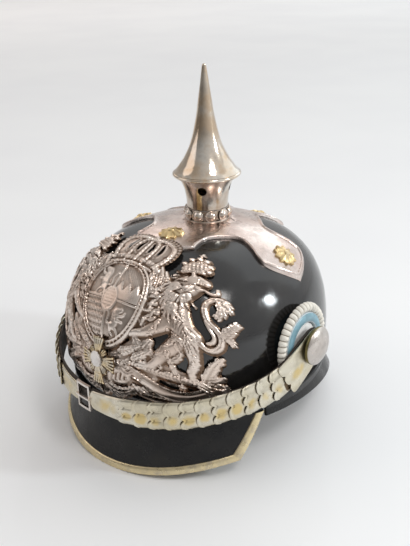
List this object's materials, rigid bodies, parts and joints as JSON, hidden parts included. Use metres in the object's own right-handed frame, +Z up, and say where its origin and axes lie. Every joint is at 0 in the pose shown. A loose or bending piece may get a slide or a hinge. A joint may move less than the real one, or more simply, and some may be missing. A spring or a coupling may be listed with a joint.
{
  "type": "spiked parade helmet",
  "caption": "Spiked parade helmet: leather skull with two visors, cross base and screw-in spike, embossed front plate, side cockades and a swinging band of chinscales.",
  "frame": {"origin": "point on the spike axis at the level of the table on which both visors stand", "axes": "-Y is the front of the helmet, +X the wearer's left, +Z up along the spike"},
  "size_m": [0.2246, 0.239, 0.2601],
  "materials": {
    "lacquered_leather": "black lacquer, glossy",
    "silver_metal": "worn silvered nickel alloy, warm tone",
    "gilt_brass": "worn gilding",
    "steel_fastener": "plain",
    "cream_paint": "cream silvering, matt",
    "pale_blue_paint": "semi-gloss",
    "white_paint": "semi-gloss",
    "black_paint": "semi-gloss",
    "red_paint": "semi-gloss",
    "strap_leather": "smooth",
    "liner_leather": "matt",
    "lining_cloth": "ribbed silk"
  },
  "bodies": {
    "helmet": {"skull_shell": "lacquered_leather", "front_visor": "lacquered_leather", "visor_trim": "gilt_brass", "rear_visor": "lacquered_leather", "rear_spine": "silver_metal", "spine_studs": "silver_metal", "cross_base": "silver_metal", "star_studs": "gilt_brass", "stud_nuts": "steel_fastener", "pearl_ring": "silver_metal", "spike_neck": "silver_metal", "neck_socket": "gilt_brass", "helmet_plate": "silver_metal", "plate_posts": "gilt_brass", "plate_nuts": "steel_fastener", "reserve_cross": "gilt_brass", "cross_medallion": "silver_metal", "side_posts": "gilt_brass", "side_nuts": "steel_fastener", "left_cockade_ring": "cream_paint", "left_cockade_colour": "pale_blue_paint", "left_cockade_disc": "white_paint", "right_cockade_ring": "black_paint", "right_cockade_colour": "white_paint", "right_cockade_disc": "red_paint", "sweatband": "liner_leather", "dome_lining": "lining_cloth"},
    "spike": {"spike_cone": "silver_metal", "spike_plug": "gilt_brass"},
    "chinscales": {"left_strap_leather": "strap_leather", "right_strap_leather": "strap_leather", "left_scales": "silver_metal", "right_scales": "silver_metal", "left_root_plate": "silver_metal", "right_root_plate": "silver_metal", "left_end_plate": "silver_metal", "right_end_plate": "silver_metal", "left_boss": "silver_metal", "right_boss": "silver_metal", "chin_buckle": "silver_metal", "buckle_prong": "silver_metal"}
  },
  "joints": [
    {"name": "spike_lift", "type": "slide", "parent": "helmet", "child": "spike", "axis": [0, 0, 1], "range_m": [0, 0.03]},
    {"name": "chinscale_swing", "type": "hinge", "parent": "helmet", "child": "chinscales", "pos_m": [0, -0.0185, 0.0835], "axis": [-1, 0, 0], "range_deg": [0, 75]}
  ]
}
